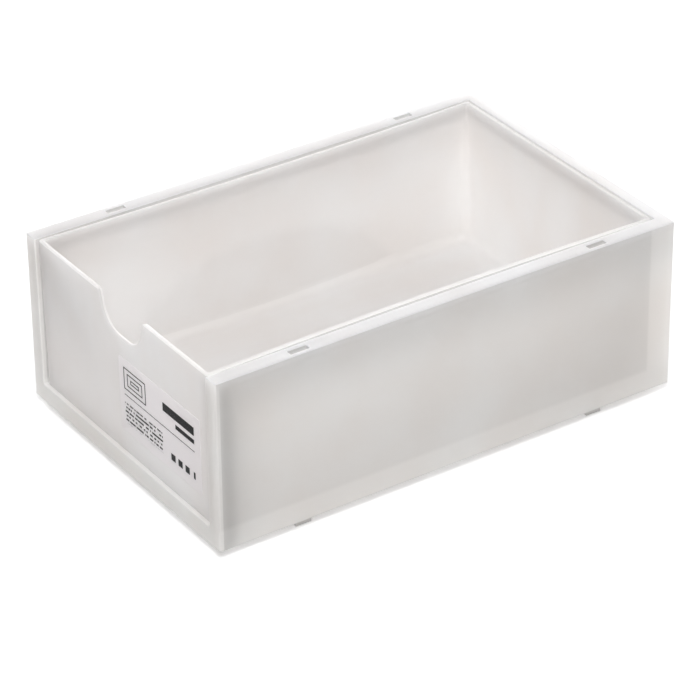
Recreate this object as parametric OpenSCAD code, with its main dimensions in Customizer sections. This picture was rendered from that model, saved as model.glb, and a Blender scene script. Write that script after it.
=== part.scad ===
// Stackable drawer box: an open-topped case with a drawer that slides out of its front.
// Millimetres. +X right, +Y back (the drawer opens towards -Y), +Z up.
// Origin: centre of the footprint, on the surface that the four stacking pegs stand on.

/* [Case] */
// Width of the case over its side walls
case_w = 156; // [120:1:220]
// Length of the case, front to back
case_l = 240; // [180:1:360]
// Height of the case, without the pegs below it
case_h = 83; // [78:1:140]
// Thickness of the case's side and back walls and of its front posts
case_wall = 2; // [1.6:0.1:3]
// Radius of the case's upright outer edges
case_edge_r = 0.7; // [0.4:0.1:4]
// Thickness of the flat rim round the top
rim_t = 1.6; // [1.2:0.1:4]
// Width of the side rims, and of the front posts below them
side_rim_w = 7.4; // [7:0.1:14]
// Width of the back rim
back_rim_w = 5.4; // [3.5:0.1:12]

/* [Case front and floor] */
// Depth of each front post's inner wall, front to back
post_d = 12; // [6:0.5:20]
// Thickness of each front post's inner wall
post_wall = 1.6; // [1:0.1:3]
// Height of the front rail, which is level with the case's floor
rail_h = 8.6; // [6:0.2:16]
// Thickness of the case's floor
case_floor_t = 2; // [1.5:0.1:4]

/* [Drawer] */
// Thickness of the drawer's walls
drawer_wall = 2; // [1.6:0.1:3]
// Thickness of the drawer's floor
drawer_floor_t = 2; // [1.5:0.1:4]
// Draft of the drawer's walls and of the posts beside it, in degrees
draft = 0.4; // [0.2:0.1:2]
// Radius of the upright corners outside, at the top
outer_corner_r = 1.6; // [1.2:0.1:8]
// Radius of the upright corners inside, at the top
inner_corner_r = 4; // [3:0.1:10]
// Radius along the bottom edges outside
outer_edge_r = 0.6; // [0.5:0.1:4]
// Radius along the bottom edges inside
inner_edge_r = 3; // [1:0.1:6]

/* [Drawer clearances] */
// Gap on each side, between the drawer and the rims and posts
side_gap = 0.8; // [0.4:0.1:1.5]
// Gap between the drawer and the back rim
back_gap = 1; // [0.4:0.1:2]
// Running gap between the drawer and the case's floor
floor_gap = 0.3; // [0.1:0.05:0.8]
// How far the drawer's front stands behind the case's front
front_recess = 1.4; // [0.3:0.1:3]
// How far the drawer's top edge stays below the rim
top_gap = 0.3; // [0.1:0.1:2]

/* [Finger notch] */
// Width of the notch across its mouth, without the rounded shoulders
notch_w = 36; // [28:1:60]
// Depth of the notch below the drawer's top edge
notch_d = 16.4; // [13:0.2:30]
// Radius of the notch's two lower corners
notch_r = 12; // [6:0.5:12]
// Lean of the notch's sides from the upright, in degrees
notch_flare = 15; // [5:1:25]
// Radius of the shoulders where the notch meets the top edge
notch_shoulder_r = 2.5; // [0.5:0.1:3]

/* [Stacking] */
// Length of each peg, front to back
peg_l = 8; // [5:0.5:14]
// Thickness of each peg, side to side
peg_t = 2.4; // [1.6:0.1:3]
// How far the pegs reach below the case
peg_h = 3.6; // [2.5:0.1:8]
// Distance from the case's outer side to the pegs' centres
peg_side_inset = 3.6; // [3.6:0.1:6]
// Distance from the case's front to the front pegs' centres
peg_front_inset = 43.7; // [30:0.1:70]
// Distance from the case's back to the back pegs' centres
peg_back_inset = 40.6; // [30:0.1:70]
// Gap at each end of a peg in its slot
slot_end_gap = 0.7; // [0.3:0.1:1.5]
// Gap at each side of a peg in its slot
slot_side_gap = 0.3; // [0.15:0.05:0.5]

/* [Label] */
// Width of the label film
label_w = 66; // [40:1:80]
// Height of the label film
label_h = 37.5; // [20:0.5:42]
// Thickness of the label film
label_t = 0.25; // [0.2:0.05:0.5]
// Thickness of the glue under the film
label_glue_t = 0.02; // [0.01:0.01:0.1]
// Distance from the label's right edge to where the drawer's front corner begins to curve
label_side_gap = 5.7; // [0.5:0.1:8]
// Distance from the bottom of the finger notch down to the label's top edge
label_top_gap = 9.2; // [4:0.1:14]

/* [Hidden] */
$fn = 96;
cut = 1; // how far cutting shapes run past a face
edge_steps = 6; // facets round a drawer edge or a corner of the front opening
notch_steps = 10; // facets round a corner of the notch

// Heights
body_z = peg_h;
floor_z = body_z + rail_h;
rim_z = body_z + case_h;

// The opening between the rims and between the posts
opening_w = case_w - 2 * side_rim_w;
front_y = -case_l / 2;
back_y = case_l / 2;

// The drawer, at its top edge
drawer_w = opening_w - 2 * side_gap;
drawer_front_y = front_y + front_recess;
drawer_back_y = back_y - back_rim_w - back_gap;
drawer_z = floor_z + floor_gap;
drawer_top_z = rim_z - top_gap;

// The upright corners narrow towards the floor, and still have to hold the curved bottom edges
corner_flat = 0.4;
drawn_in = (drawer_top_z - drawer_z) * tan(draft);
outer_r = max(outer_corner_r, drawn_in + outer_edge_r + corner_flat);
inner_r = max(inner_corner_r, drawn_in + inner_edge_r + corner_flat);
opening_corner_r = outer_edge_r + side_gap;

// The label's lower right corner, on the front wall that leans by the draft
label_x = drawer_w / 2 - outer_r - label_side_gap;
label_z = drawer_top_z - notch_d - label_top_gap - label_h;
label_y = drawer_front_y + (drawer_top_z - label_z) * tan(draft) - label_glue_t;

peg_x = case_w / 2 - peg_side_inset;
peg_ys = [front_y + peg_front_inset, back_y - peg_back_inset];

// A block with rounded upright edges, centred on X and Y
module rounded_block(w, l, h, r) {
    translate([-w / 2 + r, -l / 2, 0]) cube([w - 2 * r, l, h]);
    translate([-w / 2, -l / 2 + r, 0]) cube([w, l - 2 * r, h]);
    for (sx = [-1, 1], sy = [-1, 1])
        translate([sx * (w / 2 - r), sy * (l / 2 - r), 0]) cylinder(r = r, h = h);
}

// Copies its child to each of the four stacking places
module at_stacking_places() {
    for (sx = [-1, 1], y = peg_ys)
        translate([sx * peg_x, y, 0]) children();
}

// Points along an arc, both ends included
function arc(centre, r, from, to, steps) =
    [for (i = [0:steps]) let (a = from + (to - from) * i / steps) centre + r * [cos(a), sin(a)]];

// Points round a curved lower corner and up a drafted side, which is at x = reach at height h
function drafted_side(reach, h, r) =
    let (centre = [reach - (h - r) * tan(draft) - r / cos(draft), r])
    concat(arc(centre, r, -90, -draft, edge_steps), [[reach, h]]);

// Section through a drafted wall, upright at x = 0
module wall_section(reach, h, r) {
    polygon(concat([[0, h], [0, 0]], drafted_side(reach, h, r)));
}

// An outline from the points of its right half
module both_halves(right) {
    polygon(concat(right, [for (i = [len(right) - 1:-1:0]) [-right[i][0], right[i][1]]]));
}

// A drafted block with rounded corners and lower edges, made of pieces that meet face to face.
// Its sizes hold at its top.
module tub(w, front, back, bottom, top, r, edge_r) {
    core = [w - 2 * r, back - front - 2 * r, top - bottom];
    translate([0, (front + back) / 2, bottom]) {
        translate([-core[0] / 2, -core[1] / 2, 0]) cube(core);
        for (turn = [0, 180]) rotate([0, 0, turn]) {
            translate([core[0] / 2, core[1] / 2, 0]) {
                // right side, corner, back
                rotate([90, 0, 0]) linear_extrude(core[1]) wall_section(r, core[2], edge_r);
                rotate_extrude(angle = 90) wall_section(r, core[2], edge_r);
                rotate([90, 0, 90]) mirror([0, 0, 1]) linear_extrude(core[0])
                    wall_section(r, core[2], edge_r);
            }
            translate([core[0] / 2, -core[1] / 2, 0]) rotate([0, 0, -90])
                rotate_extrude(angle = 90) wall_section(r, core[2], edge_r);
        }
    }
}

// The notch's outline, with its mouth at y = 0
module notch_outline() {
    // the lower corner's centre, from where its arc meets the leaning side
    cz = notch_r - notch_d;
    cx = notch_w / 2 + (cz - notch_r * sin(notch_flare)) * tan(notch_flare) - notch_r * cos(notch_flare);
    // how far the shoulder's arc begins beyond the mouth's corner
    shoulder_x = notch_w / 2 + notch_shoulder_r * tan((90 - notch_flare) / 2);
    right = concat(arc([cx, cz], notch_r, -90, -notch_flare, notch_steps),
                   arc([shoulder_x, -notch_shoulder_r], notch_shoulder_r, 180 - notch_flare, 90, edge_steps),
                   [[shoulder_x, cut]]);
    both_halves(right);
}

// The front opening's outline, with the case's floor at y = 0
module opening_outline() {
    h = rim_z - floor_z + cut;
    both_halves(drafted_side(opening_w / 2 + cut * tan(draft), h, opening_corner_r));
}

// Section through the inner wall of the right front post, with the case's floor at y = 0
module post_section() {
    h = rim_z - floor_z;
    top_x = opening_w / 2;
    foot_x = top_x - h * tan(draft);
    polygon([[foot_x, 0], [foot_x + post_wall, 0], [top_x + post_wall, h], [top_x, h]]);
}

module case() {
    color("ghostwhite") difference() {
        union() {
            difference() {
                translate([0, 0, body_z]) rounded_block(case_w, case_l, case_h, case_edge_r);
                // room inside, between the floor and the rim
                translate([-case_w / 2 + case_wall, front_y + case_wall, floor_z])
                    cube([case_w - 2 * case_wall, case_l - 2 * case_wall, case_h - rail_h - rim_t]);
                // open top
                translate([-opening_w / 2, front_y + case_wall, floor_z])
                    cube([opening_w, case_l - case_wall - back_rim_w, case_h]);
                // hollow below the floor
                translate([-case_w / 2 + case_wall, front_y + case_wall, body_z - cut])
                    cube([case_w - 2 * case_wall, case_l - 2 * case_wall, rail_h - case_floor_t + cut]);
            }
            // inner walls of the front posts
            for (s = [0, 1])
                mirror([s, 0, 0]) translate([0, front_y + post_d, floor_z]) rotate([90, 0, 0])
                    linear_extrude(post_d) post_section();
            // stacking pegs, which hang from the floor
            at_stacking_places() translate([-peg_t / 2, -peg_l / 2, 0])
                cube([peg_t, peg_l, floor_z - case_floor_t / 2]);
        }
        // front opening, with rounded lower corners
        translate([0, front_y + case_wall + cut, floor_z]) rotate([90, 0, 0])
            linear_extrude(case_wall + 2 * cut) opening_outline();
        // stacking slots in the side rims
        at_stacking_places()
            translate([-peg_t / 2 - slot_side_gap, -peg_l / 2 - slot_end_gap, rim_z - rim_t - cut])
                cube([peg_t + 2 * slot_side_gap, peg_l + 2 * slot_end_gap, rim_t + 2 * cut]);
    }
}

module drawer() {
    notch_cut_l = drawer_wall + notch_d * tan(draft) + 2 * cut;
    color("whitesmoke") difference() {
        tub(drawer_w, drawer_front_y, drawer_back_y, drawer_z, drawer_top_z,
            outer_r, outer_edge_r);
        tub(drawer_w - 2 * drawer_wall, drawer_front_y + drawer_wall, drawer_back_y - drawer_wall,
            drawer_z + drawer_floor_t, drawer_top_z + cut, inner_r, inner_edge_r);
        // finger notch
        translate([0, drawer_front_y + notch_cut_l - cut, drawer_top_z]) rotate([90, 0, 0])
            linear_extrude(notch_cut_l) notch_outline();
    }
}

module label() {
    color("lavender")
        translate([label_x, label_y, label_z]) rotate([draft, 0, 0])
            translate([-label_w, -label_t, 0]) cube([label_w, label_t, label_h]);
}

case();
drawer();
label();
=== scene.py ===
import functools
import math

import bmesh
import bpy
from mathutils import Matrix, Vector


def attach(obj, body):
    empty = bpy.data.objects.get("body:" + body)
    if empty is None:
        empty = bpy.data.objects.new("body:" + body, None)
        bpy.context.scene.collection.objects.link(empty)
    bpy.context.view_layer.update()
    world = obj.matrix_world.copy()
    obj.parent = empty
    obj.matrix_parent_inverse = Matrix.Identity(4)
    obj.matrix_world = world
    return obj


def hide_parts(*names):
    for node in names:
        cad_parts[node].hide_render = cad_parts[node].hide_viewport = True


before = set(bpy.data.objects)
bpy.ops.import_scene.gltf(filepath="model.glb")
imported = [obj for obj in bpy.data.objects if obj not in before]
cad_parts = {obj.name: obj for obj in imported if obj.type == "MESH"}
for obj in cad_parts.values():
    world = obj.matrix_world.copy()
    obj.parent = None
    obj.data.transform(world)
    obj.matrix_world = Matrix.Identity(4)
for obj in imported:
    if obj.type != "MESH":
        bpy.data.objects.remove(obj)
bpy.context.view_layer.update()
bpy.ops.object.select_all(action="DESELECT")


# Case: the outer shell of the box, injection moulded in one piece from milky polypropylene.
# The drawer slides in from the front, between two box-shaped posts, onto a raised floor. Pegs
# below it stand in the slots of the next box down.

# sizes in millimetres, brought to metres by in_metres once a piece is modelled
case_half_w = 78
case_front_y, case_back_y = -120, 120
body_z, rim_z = 3.6, 86.6
case_wall = 2
case_edge_r = 0.7
rim_under_z = 85
rim_inner_x = 70.6
back_rim_y = 114.6
floor_z, floor_under_z = 12.2, 10.2
post_inner_x = 72.2
post_back_y = -108
draft = math.radians(0.4)
peg_x, peg_ys = 74.4, (-76.3, 79.4)
peg_half_t, peg_half_l = 1.2, 4
slot_inner_x, slot_outer_x, slot_half_l = 72.9, 76, 4.7
opening_corner_r = 1.4
rim_edge_r = 0.35
case_bow = 0.7
bow_steps = range(-94, 110, 18)
shortest_edge = 0.21


def choose(kind, test, sharp=0):
    """Selects only the faces or edges for which test(middle, direction) holds.

    With an angle, it selects only the edges at which the surface turns by more."""
    bpy.ops.mesh.select_mode(type=kind)
    bpy.ops.mesh.select_all(action="DESELECT")
    mesh = bmesh.from_edit_mesh(bpy.context.edit_object.data)
    if kind == "FACE":
        for face in mesh.faces:
            face.select_set(test(face.calc_center_bounds(), face.normal))
    else:
        for edge in mesh.edges:
            a, b = (v.co for v in edge.verts)
            edge.select_set(edge.calc_face_angle(4) >= math.radians(sharp)
                            and test((a + b) / 2, (b - a).normalized()))
    bmesh.update_edit_mesh(bpy.context.edit_object.data)


def cut(test, axis, places):
    """Cuts the chosen faces along planes square to an axis."""
    for place in places:
        choose("FACE", test)
        along = Vector((axis == "x", axis == "y", axis == "z"))
        bpy.ops.mesh.bisect(plane_co=along * place, plane_no=along)


def pull(test, move):
    """Extrudes the chosen faces by a move."""
    choose("FACE", test)
    bpy.ops.mesh.extrude_region_move(TRANSFORM_OT_translate={"value": move})


def near(a, b):
    return abs(a - b) < 0.01


def block(name, low, high):
    """Adds a block between two corners and goes into edit mode."""
    low, high = Vector(low), Vector(high)
    bpy.ops.mesh.primitive_cube_add(size=1, location=(low + high) / 2, scale=high - low)
    bpy.ops.object.transform_apply(location=True, rotation=True, scale=True)
    piece = bpy.context.object
    piece.name = piece.data.name = name
    piece.data.attributes.new("worn_and_highlit", "FLOAT", "FACE")
    bpy.ops.object.mode_set(mode="EDIT")
    return piece


def apply_all(piece):
    """Applies every modifier of the piece."""
    for modifier in list(piece.modifiers):
        bpy.ops.object.modifier_apply(modifier=modifier.name)


def round_off(test, r, segments):
    """Rounds the chosen sharp edges, and marks them for a painted highlight and a slightly rougher
    finish.
    """
    choose("EDGE", test, sharp=38)
    bpy.ops.mesh.bevel(offset=r, segments=segments, affect="EDGES", clamp_overlap=True)
    marks = bpy.context.edit_object.data.attributes
    marks.active_index = marks.keys().index("worn_and_highlit")
    bpy.ops.mesh.attribute_set(value_float=1)


def bow(piece, low, high, inward):
    """Draws the long sides in at their middle, most at the top, as the moulding shrank."""
    low, high = Vector(low), Vector(high)
    bpy.ops.object.add(type="LATTICE", location=(low + high) / 2)
    cage = bpy.context.object
    cage.scale = high - low
    cage.data.points_u, cage.data.points_v, cage.data.points_w = 2, 9, 2
    cage.data.interpolation_type_u = cage.data.interpolation_type_w = "KEY_LINEAR"
    cage.data.interpolation_type_v = "KEY_CARDINAL"
    for point in cage.data.points:
        if point.co.z > 0:
            point.co_deform.x *= 1 - inward / high.x * (1 - (2 * point.co.y) ** 2)
    bpy.ops.object.select_all(action="DESELECT")
    bpy.context.view_layer.objects.active = piece
    piece.select_set(True)
    piece.modifiers.new("bow", "LATTICE").object = cage
    apply_all(piece)
    bpy.data.objects.remove(cage)


def in_metres(piece):
    """Brings a piece that was modelled in millimetres to metres, and shades it smooth."""
    piece.scale = (0.001, 0.001, 0.001)
    bpy.ops.object.transform_apply(location=True, rotation=True, scale=True)
    bpy.ops.object.shade_smooth_by_angle(angle=math.radians(32))


case = block("case_shell", (-case_half_w, case_front_y, body_z), (case_half_w, case_back_y, rim_z))
choose("EDGE", lambda c, d: near(abs(d.z), 1))
bpy.ops.mesh.bevel(offset=case_edge_r, segments=4, affect="EDGES")

# hollow below the floor, with the pegs hanging in it
choose("FACE", lambda c, n: near(c.z, body_z))
bpy.ops.mesh.inset(thickness=case_wall)
bpy.ops.mesh.extrude_region_move(TRANSFORM_OT_translate={"value": (0, 0, floor_under_z - body_z)})
ceiling = lambda c, n: near(c.z, floor_under_z)
at_peg = lambda c: abs(abs(c.x) - peg_x) < 0.1 and any(near(c.y, y) for y in peg_ys)
cut(ceiling, "x", [s * (peg_x + t * peg_half_t) for s in (-1, 1) for t in (-1, 1)])
cut(ceiling, "y", [y + t * peg_half_l for y in peg_ys for t in (-1, 1)])
pull(lambda c, n: ceiling(c, n) and at_peg(c), (0, 0, -floor_under_z))

# open top, down to the floor
top = lambda c, n: near(c.z, rim_z)
cut(top, "x", (-rim_inner_x, rim_inner_x))
cut(top, "y", (case_front_y + case_wall, back_rim_y))
well = lambda c: abs(c.x) < rim_inner_x and case_front_y + case_wall < c.y < back_rim_y
pull(lambda c, n: top(c, n) and well(c), (0, 0, rim_under_z - rim_z))
bpy.ops.mesh.extrude_region_move(TRANSFORM_OT_translate={"value": (0, 0, floor_z - rim_under_z)})

# room under the rims, which leaves the hollow posts at the front
under_rim = lambda c: floor_z < c.z < rim_under_z
cut(lambda c, n: under_rim(c) and near(abs(c.x), rim_inner_x), "y", (post_back_y,))
behind_post = lambda s, x: lambda c, n: (under_rim(c) and near(c.x, s * x) and near(n.x, -s)
                                         and c.y > post_back_y)
for s in (-1, 1):
    pull(behind_post(s, rim_inner_x), (s * (post_inner_x - rim_inner_x), 0, 0))
    pull(behind_post(s, post_inner_x), (s * (case_half_w - case_wall - post_inner_x), 0, 0))
pull(lambda c, n: near(c.y, post_back_y) and near(n.y, 1) and abs(c.x) > post_inner_x,
     (0, case_front_y + case_wall - post_back_y, 0))
pull(lambda c, n: near(c.y, back_rim_y) and near(n.y, -1) and under_rim(c),
     (0, case_back_y - case_wall - back_rim_y, 0))

# slots through the side rims
rim_top = lambda c, n: top(c, n) and abs(c.x) > rim_inner_x
rim_under = lambda c, n: near(c.z, rim_under_z) and near(n.z, -1) and abs(c.x) > post_inner_x
for part in (rim_top, rim_under):
    cut(part, "x", [s * x for s in (-1, 1) for x in (slot_inner_x, slot_outer_x)])
    cut(part, "y", [y + t * slot_half_l for y in peg_ys for t in (-1, 1)])
pull(lambda c, n: top(c, n) and at_peg(c), (0, 0, rim_under_z - rim_z))
choose("FACE", lambda c, n: near(c.z, rim_under_z) and at_peg(c))
bpy.ops.mesh.delete(type="FACE")
bpy.ops.mesh.select_all(action="SELECT")
bpy.ops.mesh.remove_doubles(threshold=0.001)

# front opening, with rounded lower corners
outer_front = lambda c, n: near(c.y, case_front_y)
cut(outer_front, "x", (-rim_inner_x, rim_inner_x))
cut(lambda c, n: outer_front(c, n) and abs(c.x) < rim_inner_x, "z", (floor_z, rim_under_z))
choose("FACE", lambda c, n: abs(c.x) < rim_inner_x and c.z > floor_z
       and c.y < case_front_y + case_wall + 0.01)
bpy.ops.mesh.delete(type="FACE")
choose("EDGE", lambda c, d: (near(c.y, case_front_y) or near(c.y, case_front_y + case_wall))
       and ((near(abs(c.x), rim_inner_x) and near(abs(d.z), 1) and c.z > floor_z)
            or (near(c.z, floor_z) and near(c.x, 0))))
bpy.ops.mesh.bridge_edge_loops()

# the posts' inner walls lean with the drawer's sides
post_foot_x = (rim_z - floor_z) * math.tan(draft)
for s in (-1, 1):
    choose("EDGE", lambda c, d: near(c.z, floor_z) and c.y < post_back_y + 0.01
           and (near(c.x, s * rim_inner_x) or near(c.x, s * post_inner_x)))
    bpy.ops.transform.translate(value=(-s * post_foot_x, 0, 0))
choose("EDGE", lambda c, d: near(abs(d.y), 1) and near(c.z, floor_z)
       and near(abs(c.x), rim_inner_x - post_foot_x) and c.y < post_back_y)
bpy.ops.mesh.bevel(offset=opening_corner_r, segments=6, affect="EDGES")
bpy.ops.mesh.select_all(action="SELECT")
bpy.ops.mesh.remove_doubles(threshold=shortest_edge)

# the long walls and rims take the bow in short steps
cut(lambda c, n: True, "y", bow_steps)
rim_edges = lambda c, d: near(c.z, rim_z)
opening_foot = lambda c, d: (near(c.y, case_front_y)
                             and floor_z - 0.1 < c.z < floor_z + opening_corner_r)
peg_edges = lambda c, d: c.z < body_z - 0.1
for edges in (rim_edges, opening_foot, peg_edges):
    round_off(edges, rim_edge_r, 2)
bpy.ops.object.mode_set(mode="OBJECT")
bow(case, (-case_half_w, case_front_y, body_z), (case_half_w, case_back_y, rim_z), case_bow)
in_metres(case)


def add_node(tree, kind, *feeds, **settings):
    """Adds a shader node and feeds its inputs in order, with values or other nodes' outputs."""
    node = tree.nodes.new("ShaderNode" + kind)
    for name, value in settings.items():
        setattr(node, name, value)
    for socket, feed in zip(node.inputs, feeds):
        if isinstance(feed, bpy.types.NodeSocket):
            tree.links.new(feed, socket)
        elif feed is not None:
            socket.default_value = feed
    return node


def maths(tree, operation, *feeds):
    """One Math node's result."""
    return add_node(tree, "Math", *feeds, operation=operation).outputs[0]


def times(tree, *feeds):
    return functools.reduce(lambda a, b: maths(tree, "MULTIPLY", a, b), feeds)


def most(tree, *feeds):
    return functools.reduce(lambda a, b: maths(tree, "MAXIMUM", a, b), feeds)


def ramp(tree, value, start, end, low=0.0, high=1.0):
    """Goes smoothly from low to high as the value goes from start to end."""
    return add_node(tree, "MapRange", value, start, end, low, high,
                    interpolation_type="SMOOTHSTEP").outputs[0]


def between(tree, value, low, high, fade):
    """1 between two values, with soft ends."""
    return times(tree, ramp(tree, value, low - fade, low),
                 ramp(tree, value, high, high + fade, 1, 0))


def noise(tree, place, scale, detail):
    return add_node(tree, "TexNoise", place, None, scale, detail, 0.55).outputs[0]


def tinted(tree, amount, colour, other):
    """Blends two colours by an amount."""
    mix = add_node(tree, "Mix", amount, data_type="RGBA")
    for socket, feed in zip((mix.inputs[6], mix.inputs[7]), (colour, other)):
        if isinstance(feed, bpy.types.NodeSocket):
            tree.links.new(feed, socket)
        else:
            socket.default_value = (*feed, 1)
    return mix.outputs[2]


def multiplied(tree, colour, other):
    """One colour times another."""
    mix = add_node(tree, "Mix", 1.0, data_type="RGBA", blend_type="MULTIPLY")
    tree.links.new(colour, mix.inputs[6])
    tree.links.new(other, mix.inputs[7])
    return mix.outputs[2]


def new_group(name, inputs, outputs):
    """Starts a shader node group, with its inputs' node and its outputs' node."""
    tree = bpy.data.node_groups.new(name, "ShaderNodeTree")
    for label, kind in inputs.items():
        tree.interface.new_socket(name=label, in_out="INPUT", socket_type="NodeSocket" + kind)
    for label, kind in outputs.items():
        tree.interface.new_socket(name=label, in_out="OUTPUT", socket_type="NodeSocket" + kind)
    return tree, tree.nodes.new("NodeGroupInput"), tree.nodes.new("NodeGroupOutput")


# the skin of a milky moulding: cloudy where the melt flowed, with a fine satin grain, a slight
# waviness from shrinking, scuffs from use, and a painted highlight that makes the rounded edges
# paler, where use also leaves them a little rougher. Patterns have their scale per metre, and
# heights are shares of how deep the bump goes.
cloud_scale, cloud_share = 24, 0.6
flow_stretch = (60, 9, 14)
cloudy, clear = (0.974, 0.966, 0.958), (0.996, 1, 1)
scratch_turn, scratch_stretch = (0.2, 0, 0.1), (1500, 40, 1500)
scuffed_scale = 35
rubbed_and_highlit_scale, edge_highlight_colour = 220, (0.99, 0.985, 0.98)
satin_scale = 130
satin_rough, rubbed_rough, scuff_rough = 0.16, 0.1, 0.16
grain_scale, wave_scale, swell_scale = 2600, 300, 55
grain_height, wave_height, swell_height, scuff_height = 0.25, 0.5, 2.2, -0.25

skin, given, made = new_group(
    "moulded_skin",
    {"Colour": "Color", "Roughness": "Float"},
    {"Colour": "Color", "Roughness": "Float", "Height": "Float"})
place = add_node(skin, "TexCoord").outputs["Object"]
along_flow = add_node(skin, "Mapping", place, None, None, flow_stretch).outputs[0]
along_slide = add_node(skin, "Mapping", place, None, scratch_turn, scratch_stretch).outputs[0]
clouds = maths(skin, "MULTIPLY_ADD", noise(skin, place, cloud_scale, 3), cloud_share,
               times(skin, noise(skin, along_flow, 1, 2), 1 - cloud_share))
clouded = tinted(skin, ramp(skin, clouds, 0.36, 0.64), cloudy, clear)
scuff = times(skin, ramp(skin, noise(skin, along_slide, 1, 2), 0.63, 0.7),
              ramp(skin, noise(skin, place, scuffed_scale, 2), 0.5, 0.68))
# painted highlight: the marked rounded edges are painted paler, patchily; the same mark makes them
# a little rougher
rubbed_and_highlit = times(skin, add_node(skin, "Attribute", attribute_name="worn_and_highlit").outputs["Fac"],
               ramp(skin, noise(skin, place, rubbed_and_highlit_scale, 2), 0.3, 0.5, 0.45, 1))
colour = tinted(skin, rubbed_and_highlit, multiplied(skin, given.outputs["Colour"], clouded), edge_highlight_colour)
skin.links.new(colour, made.inputs["Colour"])
rough = given.outputs["Roughness"]
for pattern, amount in ((noise(skin, place, satin_scale, 3), satin_rough),
                        (rubbed_and_highlit, rubbed_rough), (scuff, scuff_rough)):
    rough = maths(skin, "MULTIPLY_ADD", pattern, amount, rough)
skin.links.new(rough, made.inputs["Roughness"])
height = times(skin, noise(skin, place, grain_scale, 1), grain_height)
for pattern, amount in ((noise(skin, place, wave_scale, 2), wave_height),
                        (noise(skin, place, swell_scale, 1), swell_height), (scuff, scuff_height)):
    height = maths(skin, "MULTIPLY_ADD", pattern, amount, height)
skin.links.new(height, made.inputs["Height"])

skin_bump, skin_bump_m = 0.6, 0.00006
plastic_ior = 1.49


def milky_plastic(name, white, through, share, roughness, painted_shading):
    """Polypropylene: part of the light scatters back from its skin, the rest goes through.

    The given function paints shade into its colour where more of the moulding lies behind the
    skin, and paints light where less does."""
    plastic = bpy.data.materials.new(name)
    plastic.use_nodes = True
    tree = plastic.node_tree
    shader = tree.nodes["Principled BSDF"]
    painted_tone = painted_shading(tree)
    looks = []
    for colour in (white, through):
        surface = add_node(tree, "Group", node_tree=skin)
        surface.inputs["Colour"].default_value = (*colour, 1)
        surface.inputs["Roughness"].default_value = roughness
        looks.append(multiplied(tree, surface.outputs["Colour"], painted_tone))
    tree.links.new(looks[0], shader.inputs["Base Color"])
    tree.links.new(surface.outputs["Roughness"], shader.inputs["Roughness"])
    bump = add_node(tree, "Bump", skin_bump, skin_bump_m)
    tree.links.new(surface.outputs["Height"], bump.inputs["Height"])
    tree.links.new(bump.outputs[0], shader.inputs["Normal"])
    shader.inputs["IOR"].default_value = plastic_ior
    glow = add_node(tree, "BsdfTranslucent", looks[1])
    both = add_node(tree, "MixShader", share, shader.outputs[0], glow.outputs[0])
    tree.links.new(both.outputs[0], tree.nodes["Material Output"].inputs["Surface"])
    return plastic


def place_in_mm(tree):
    """x, y and z of a point on the piece, in millimetres."""
    place = add_node(tree, "Mapping", add_node(tree, "TexCoord").outputs["Object"],
                     None, None, (1000, 1000, 1000))
    return add_node(tree, "SeparateXYZ", place.outputs[0]).outputs


# painted shade and painted light on the case: how much darker or paler its colour is painted at
# each place, and the darker, cooler white painted on the rims' top faces
post_painted_shade, under_rim_painted_shade, slot_painted_shade = 0.14, 0.08, 0.28
peg_painted_shade, hollow_painted_shade = 0.12, 0.03
painted_light_gain = 0.07
rim_top_painted_shade = (0.925, 0.93, 0.95)
case_white = (0.965, 0.958, 0.951)
case_through = (0.992, 0.984, 0.977)
case_share = 0.6
case_rough = 0.32


def case_painted_light_and_shade(tree):
    """Painted shade and painted light: the walls are painted darker over the closed posts, just
    below the rims, inside the slots, on the pegs and on the floor above its hollow, and painted
    paler where
    only one wall stands: at the front, behind the drawer and below the floor. The rims' top faces
    are painted a darker, cooler white."""
    x, y, z = place_in_mm(tree)
    x = maths(tree, "ABSOLUTE", x)
    behind_front = ramp(tree, y, case_front_y + 0.3, case_front_y + 1)
    inside_front = ramp(tree, y, case_front_y + case_wall - 0.1, case_front_y + case_wall + 0.2)

    post = maths(tree, "ADD", ramp(tree, y, case_front_y + 3, post_back_y, post_painted_shade, 0),
                 ramp(tree, y, post_back_y - 4, post_back_y + 14, post_painted_shade / 5, 0))
    below_rim = maths(tree, "ADD", ramp(tree, z, 55, rim_under_z - 1, 0, under_rim_painted_shade),
                      ramp(tree, z, rim_under_z - 3.5, rim_z - 0.4, 0, under_rim_painted_shade * 1.2))
    slot = times(tree, between(tree, x, slot_inner_x - 0.6, slot_outer_x + 0.2, 0.2),
                 ramp(tree, z, rim_under_z + 0.05, rim_under_z + 0.1), slot_painted_shade)
    foot = ramp(tree, z, body_z, body_z + 0.7, peg_painted_shade, 0)
    inner_x, inner_y = case_half_w - case_wall, case_back_y - case_wall
    hollow = times(tree, between(tree, z, floor_under_z - 0.7, floor_z + 0.1, 0.2),
                   ramp(tree, x, inner_x - 0.5, inner_x - 0.2, hollow_painted_shade, 0),
                   between(tree, y, 0.5 - inner_y, inner_y - 0.5, 0.3))
    painted_dark = most(tree, times(tree, post, inside_front), times(tree, below_rim, behind_front),
                times(tree, slot, behind_front), foot, hollow)

    painted_pale = most(tree, ramp(tree, y, 106.5, 108), maths(tree, "SUBTRACT", 1, behind_front),
                 between(tree, z, body_z + 0.9, floor_z + 0.3, 3))
    painted_tone = maths(tree, "MULTIPLY_ADD", painted_pale, painted_light_gain, 1 - painted_light_gain)
    painted_tone = maths(tree, "SUBTRACT", painted_tone, painted_dark)
    top = ramp(tree, z, rim_z - rim_edge_r - 0.03, rim_z - rim_edge_r + 0.01)
    return tinted(tree, top, painted_tone, rim_top_painted_shade)


case.data.materials.append(milky_plastic("case_plastic", case_white, case_through, case_share,
                                         case_rough, case_painted_light_and_shade))
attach(case, "case")
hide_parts("case")


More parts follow.
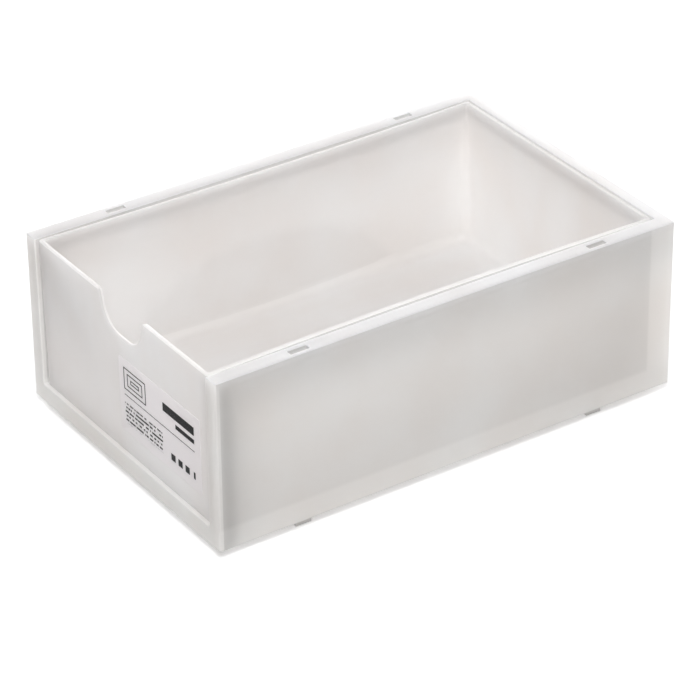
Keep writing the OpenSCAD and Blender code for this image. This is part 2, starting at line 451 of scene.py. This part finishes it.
# Drawer: an open tray, moulded in one piece from the same polypropylene. Its walls lean a little
# so that it leaves its mould, and a notch in its front wall takes a finger. It rests on the
# case's floor with no runner.

drawer_half_w = 69.8
drawer_front_y, drawer_back_y = -118.6, 113.6
drawer_z, drawer_rim_z = 12.5, 86.3
drawer_wall, drawer_floor_t = 2, 2
outer_top_r, outer_foot_r, outer_edge_r = 1.3, 1.6, 0.6
inner_top_r, inner_foot_r, inner_edge_r = 1.2, 6.8, 5.4
notch_half_w, notch_d = 18, 16.4
notch_lean = math.radians(15)
notch_corner_r, notch_shoulder_r = 12, 2.5
drawer_rim_r = 0.6
drawer_bow = 2.2


def tray_form(name, half_w, front_y, back_y, bottom_z, top_r, foot_r, edge_r):
    """An open form with leaning walls, whose corners widen from top_r down to foot_r."""
    form = block(name, (-half_w, front_y, bottom_z), (half_w, back_y, drawer_rim_z))
    choose("EDGE", lambda c, d: near(abs(d.z), 1))
    bpy.ops.mesh.delete(type="EDGE")
    for z, r, lean in ((drawer_rim_z, top_r, 0), (bottom_z, foot_r, drawer_rim_z - bottom_z)):
        choose("FACE", lambda c, n: near(c.z, z))
        drawn_in = lean * math.tan(draft)
        smaller = (1 - drawn_in / half_w, 1 - 2 * drawn_in / (back_y - front_y), 1)
        bpy.ops.transform.resize(value=smaller, center_override=(0, (front_y + back_y) / 2, z))
        bpy.ops.mesh.bevel(offset=r, segments=8, affect="VERTICES")
    bpy.ops.mesh.select_all(action="SELECT")
    bpy.ops.mesh.delete(type="ONLY_FACE")
    bpy.ops.mesh.select_all(action="SELECT")
    bpy.ops.mesh.bridge_edge_loops()
    choose("EDGE", lambda c, d: near(c.z, bottom_z))
    bpy.ops.mesh.edge_face_add()
    bpy.ops.mesh.select_all(action="SELECT")
    bpy.ops.mesh.normals_make_consistent(inside=False)
    choose("EDGE", lambda c, d: near(c.z, bottom_z))
    bpy.ops.mesh.bevel(offset=edge_r, segments=6, affect="EDGES")
    bpy.ops.object.mode_set(mode="OBJECT")
    return form


inside = tray_form("drawer_inside", drawer_half_w - drawer_wall, drawer_front_y + drawer_wall,
                   drawer_back_y - drawer_wall, drawer_z + drawer_floor_t,
                   inner_top_r, inner_foot_r, inner_edge_r)
bpy.ops.object.mode_set(mode="EDIT")
bpy.ops.mesh.select_all(action="SELECT")
bpy.ops.mesh.flip_normals()
bpy.ops.object.mode_set(mode="OBJECT")
drawer = tray_form("drawer_tray", drawer_half_w, drawer_front_y, drawer_back_y, drawer_z,
                   outer_top_r, outer_foot_r, outer_edge_r)

# the two forms are joined along the rim
inside.select_set(True)
bpy.ops.object.join()
bpy.ops.object.mode_set(mode="EDIT")
choose("EDGE", lambda c, d: near(c.z, drawer_rim_z) and abs(d.z) < 0.01)
bpy.ops.mesh.bridge_edge_loops()
bpy.ops.object.mode_set(mode="OBJECT")

# finger notch, cut with a block of its outline
notch = block("notch", (-notch_half_w, drawer_front_y - 3, drawer_rim_z - notch_d),
              (notch_half_w, drawer_front_y + 6, drawer_rim_z))
choose("FACE", lambda c, n: near(n.z, -1))
bpy.ops.transform.resize(value=(1 - notch_d * math.tan(notch_lean) / notch_half_w, 1, 1))
choose("EDGE", lambda c, d: near(abs(d.y), 1) and c.z < drawer_rim_z - 1)
bpy.ops.mesh.bevel(offset=notch_corner_r * math.tan(math.radians(45) - notch_lean / 2),
                   segments=12, affect="EDGES")
bpy.ops.mesh.select_all(action="SELECT")
pull(lambda c, n: near(n.z, 1), (0, 0, 2))
bpy.ops.object.mode_set(mode="OBJECT")
bpy.ops.object.select_all(action="DESELECT")
bpy.context.view_layer.objects.active = drawer
drawer.select_set(True)
bite = drawer.modifiers.new("notch", "BOOLEAN")
bite.object = notch
bite.solver = "EXACT"
apply_all(drawer)
bpy.data.objects.remove(notch)
bpy.ops.object.mode_set(mode="EDIT")
choose("EDGE", lambda c, d: (near(abs(c.x), notch_half_w) and near(c.z, drawer_rim_z)
                             and abs(d.y) > 0.9))
bpy.ops.mesh.bevel(offset=notch_shoulder_r * math.tan(math.radians(45) - notch_lean / 2),
                   segments=6, affect="EDGES")
cut(lambda c, n: True, "y", bow_steps)
round_off(lambda c, d: True, drawer_rim_r, 3)
bpy.ops.object.mode_set(mode="OBJECT")
bow(drawer, (-drawer_half_w, drawer_front_y, drawer_z),
    (drawer_half_w, drawer_back_y, drawer_rim_z), drawer_bow)
in_metres(drawer)

# painted shade on the drawer: how much darker its colour is painted on the front wall, floor,
# outer sides and rim
front_painted_shade_low, front_painted_shade_high = 0.07, 0.205
floor_painted_shade, gap_painted_shade, drawer_rim_painted_shade = 0.035, 0.3, 0.06
side_painted_shade_share = 0.15
drawer_white = (0.97, 0.961, 0.959)
drawer_through = (0.99, 0.981, 0.981)
drawer_share = 0.6
drawer_rough = 0.34


def drawer_painted_shade(tree):
    """Painted shade: the front wall is painted darker, most of all towards its top, and so are the
    floor, which lies on the case's floor, the rim, and the outer sides, most of all near the
    case's rims."""
    x, y, z = place_in_mm(tree)
    middle_y = (drawer_front_y + drawer_back_y) / 2
    half_l = (drawer_back_y - drawer_front_y) / 2
    along = maths(tree, "DIVIDE", maths(tree, "SUBTRACT", y, middle_y), half_l)
    x = maths(tree, "MULTIPLY_ADD", maths(tree, "POWER", along, 2), -drawer_bow,
              maths(tree, "ADD", maths(tree, "ABSOLUTE", x), drawer_bow))

    front = times(tree, ramp(tree, y, drawer_front_y + 0.8, drawer_front_y + 1.2, 1, 0),
                  ramp(tree, z, 20, 85, front_painted_shade_low, front_painted_shade_high))
    sides = most(tree, ramp(tree, x, drawer_half_w - 1.3, drawer_half_w - 1.1),
                 ramp(tree, y, drawer_back_y - 1.2, drawer_back_y - 0.8))
    sides = times(tree, sides, ramp(tree, y, drawer_front_y + 3.6, drawer_front_y + 4.6),
                  ramp(tree, z, drawer_rim_z - 9.3, drawer_rim_z - 4.3, side_painted_shade_share, 1), gap_painted_shade)
    inside_z = drawer_z + drawer_floor_t
    bottom = ramp(tree, z, inside_z + 0.1, inside_z + 2, floor_painted_shade, 0)
    rounding_z = drawer_rim_z - drawer_rim_r
    painted_dark = times(tree, most(tree, bottom, front, sides),
                 ramp(tree, z, rounding_z, rounding_z + 0.2, 1, 0))
    painted_dark = most(tree, painted_dark, ramp(tree, z, rounding_z, rounding_z + 0.2, 0, drawer_rim_painted_shade))
    return maths(tree, "SUBTRACT", 1, painted_dark)


drawer.data.materials.append(milky_plastic("drawer_plastic", drawer_white, drawer_through,
                                           drawer_share, drawer_rough, drawer_painted_shade))
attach(drawer, "drawer")
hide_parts("drawer")


# Label: a clear self-adhesive film, stuck on the right half of the drawer's front, with a plain
# design printed in black: nested frames, bars and rows of dashes.

label_left, label_right = -3.5, 62.5
label_z, label_h, label_t = 23.2, 37.5, 0.2
label_corner_r, label_edge_r = 1.2, 0.05
label_lift = 0.02

label = block("label_film", (label_left, -label_t - label_lift, 0),
              (label_right, -label_lift, label_h))
choose("EDGE", lambda c, d: near(abs(d.y), 1))
bpy.ops.mesh.bevel(offset=label_corner_r, segments=6, affect="EDGES")
round_off(lambda c, d: True, label_edge_r, 2)
bpy.ops.object.mode_set(mode="OBJECT")
label.rotation_euler.x = draft
label.location = (0, drawer_front_y + (drawer_rim_z - label_z) * math.tan(draft), label_z)
bpy.ops.object.transform_apply(location=True, rotation=True, scale=True)
in_metres(label)

# one printed bar, and rows of short dashes, both on the film's own millimetres
bar, given, made = new_group(
    "printed_bar",
    {"Place": "Vector", "Middle": "Vector", "Size": "Vector"}, {"Ink": "Float"})
away = add_node(bar, "VectorMath", given.outputs["Place"], given.outputs["Middle"],
                operation="SUBTRACT")
away = add_node(bar, "VectorMath", away.outputs[0], operation="ABSOLUTE")
reach = add_node(bar, "VectorMath", given.outputs["Size"], (0.5, 0.5, 0.5), operation="MULTIPLY")
away = add_node(bar, "SeparateXYZ", away.outputs[0])
reach = add_node(bar, "SeparateXYZ", reach.outputs[0])
inked = times(bar, maths(bar, "LESS_THAN", away.outputs[0], reach.outputs[0]),
              maths(bar, "LESS_THAN", away.outputs[2], reach.outputs[2]))
bar.links.new(inked, made.inputs["Ink"])

dash_stretch, dash_shift = 0.75, 7.3
dash_high, dash_gaps = 0.42, 0.45
dashes, given, made = new_group(
    "printed_dashes", {"Place": "Vector", "Row pitch": "Float"}, {"Ink": "Float"})
spot = add_node(dashes, "SeparateXYZ", given.outputs["Place"])
row = maths(dashes, "DIVIDE", spot.outputs[2], given.outputs["Row pitch"])
word = add_node(dashes, "CombineXYZ", times(dashes, spot.outputs[0], dash_stretch),
                times(dashes, maths(dashes, "FLOOR", row), dash_shift)).outputs[0]
inked = times(dashes, maths(dashes, "LESS_THAN", maths(dashes, "FRACT", row), dash_high),
              maths(dashes, "GREATER_THAN", noise(dashes, word, 1, 0), dash_gaps))
dashes.links.new(inked, made.inputs["Ink"])

# what is printed: middle and size in millimetres from the film's lower left corner
solid_bars = (
    ((48.5, 29.4), (25, 4.2)), ((53.5, 24.2), (15, 2.2)),
    ((32.5, 19.4), (57, 0.35)),
    ((43.2, 7), (3.4, 3.4)), ((48.9, 7), (3.4, 3.4)), ((54.6, 7), (3.4, 3.4)),
    ((60.3, 7), (1.4, 3.4)),
)
outlines = (((13, 27.7), (18, 11)), ((13, 27.7), (12.5, 6.4)), ((13, 27.7), (7, 2.2)))
outline_w = 0.55
dash_block = ((19.5, 10.2), (31, 10.4))
dash_pitch = 2.1
ink_black = (0.02, 0.019, 0.021)
film_white = (0.95, 0.936, 0.941)
film_through = (0.985, 0.971, 0.977)
film_share = 0.6
film_rough, smear_rough, ink_rough = 0.12, 0.1, 0.15
smear_scale, ripple_scale, speck_scale = 0.25, 0.09, 2.2
ripple_height, ink_height = 3.0, 0.2
film_bump, film_bump_m = 0.6, 0.00004

film = bpy.data.materials.new("label_film")
film.use_nodes = True
tree = film.node_tree
shader = tree.nodes["Principled BSDF"]
from_corner = add_node(tree, "Mapping", add_node(tree, "TexCoord").outputs["Object"],
                       (-label_left, 0, -label_z), None, (1000, 1000, 1000)).outputs[0]


def printed(middle, size):
    return add_node(tree, "Group", from_corner, (middle[0], 0, middle[1]), (size[0], 0, size[1]),
                    node_tree=bar).outputs[0]


marks = [printed(*b) for b in solid_bars]
for middle, size in outlines:
    marks.append(maths(tree, "SUBTRACT", printed(middle, size),
                       printed(middle, [s - 2 * outline_w for s in size])))
marks.append(times(tree, printed(*dash_block),
                   add_node(tree, "Group", from_corner, dash_pitch, node_tree=dashes).outputs[0]))
ink = times(tree, most(tree, *marks),
            ramp(tree, noise(tree, from_corner, speck_scale, 2), 0.25, 0.38, 0.8, 1))
tree.links.new(tinted(tree, ink, film_white, ink_black), shader.inputs["Base Color"])
rough = maths(tree, "MULTIPLY_ADD", noise(tree, from_corner, smear_scale, 3), smear_rough,
              maths(tree, "MULTIPLY_ADD", ink, ink_rough, film_rough))
tree.links.new(rough, shader.inputs["Roughness"])
ripple = maths(tree, "MULTIPLY_ADD", noise(tree, from_corner, ripple_scale, 2), ripple_height,
               times(tree, ink, ink_height))
bump = add_node(tree, "Bump", film_bump, film_bump_m)
tree.links.new(ripple, bump.inputs["Height"])
tree.links.new(bump.outputs[0], shader.inputs["Normal"])
glow = add_node(tree, "BsdfTranslucent", tinted(tree, ink, film_through, ink_black))
both = add_node(tree, "MixShader", film_share, shader.outputs[0], glow.outputs[0])
tree.links.new(both.outputs[0], tree.nodes["Material Output"].inputs["Surface"])
label.data.materials.append(film)
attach(label, "drawer")
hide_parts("label")


# Studio: a pale sheet under the box, a white surround with a little even light, a wide lamp above
# the front and a wide lamp low beside the back. Places and sizes are in metres.

sheet_size = 8
sheet_white = 0.92
sheet_glow = 0.032
sheet_lift = 0.26
sheet_near, sheet_far = 0.5, 2.5
world_light = 0.13
lamp_size = 1.1
side_lamp_w, side_lamp_place = 18, (-1.15, 0.82, 0.56)
top_lamp_w, top_lamp_place = 16, (0.565, -0.42, 1.325)
camera_lens = 185.138
camera_place, camera_turn = (1.15359, -0.77113, 0.85942), (58.929, 0.535, 55.952)

bpy.ops.mesh.primitive_plane_add(size=sheet_size)
floor = bpy.context.object
floor.name = "floor"


def seen_mask(tree):
    """1 for the rays that show the background: straight, mirrored or through clear pieces."""
    path = add_node(tree, "LightPath").outputs
    return most(tree, path["Is Camera Ray"], path["Is Glossy Ray"], path["Is Transmission Ray"])


sheet = bpy.data.materials.new("pale_sheet")
sheet.use_nodes = True
tree = sheet.node_tree
tree.nodes.remove(tree.nodes["Principled BSDF"])
paper = add_node(tree, "BsdfDiffuse", (sheet_white, sheet_white, sheet_white, 1))
away = add_node(tree, "VectorMath", add_node(tree, "TexCoord").outputs["Object"],
                operation="LENGTH").outputs["Value"]
lift = ramp(tree, away, sheet_near, sheet_far, sheet_lift, 1)
lift = maths(tree, "MULTIPLY_ADD", seen_mask(tree), lift, sheet_glow)
glow = add_node(tree, "Emission", (1, 1, 1, 1), lift)
both = add_node(tree, "AddShader", paper.outputs[0], glow.outputs[0])
tree.links.new(both.outputs[0], tree.nodes["Material Output"].inputs["Surface"])
floor.data.materials.append(sheet)

world = bpy.data.worlds.new("studio")
bpy.context.scene.world = world
world.use_nodes = True
tree = world.node_tree
tree.nodes.remove(tree.nodes["Background"])
light = add_node(tree, "Background", (1, 1, 1, 1), world_light)
seen = add_node(tree, "Background", (1, 1, 1, 1), 1.0)
both = add_node(tree, "MixShader", seen_mask(tree), light.outputs[0], seen.outputs[0])
tree.links.new(both.outputs[0], tree.nodes["World Output"].inputs["Surface"])


def soft_lamp(name, watts, place):
    lamp = bpy.data.lights.new(name, "AREA")
    lamp.shape = "DISK"
    lamp.size = lamp_size
    lamp.energy = watts
    lamp_object = bpy.data.objects.new(name, lamp)
    bpy.context.collection.objects.link(lamp_object)
    lamp_object.location = place
    lamp_object.rotation_euler = Vector(place).to_track_quat("Z", "Y").to_euler()


soft_lamp("side_lamp", side_lamp_w, side_lamp_place)
soft_lamp("top_lamp", top_lamp_w, top_lamp_place)

camera = bpy.data.cameras.new("camera")
camera.sensor_width = 36
camera.lens = camera_lens
camera.clip_start, camera.clip_end = 0.05, 20
camera_object = bpy.data.objects.new("camera", camera)
bpy.context.collection.objects.link(camera_object)
camera_object.location = camera_place
camera_object.rotation_euler = [math.radians(angle) for angle in camera_turn]
bpy.context.scene.camera = camera_object
bpy.context.scene.view_settings.view_transform = "Standard"
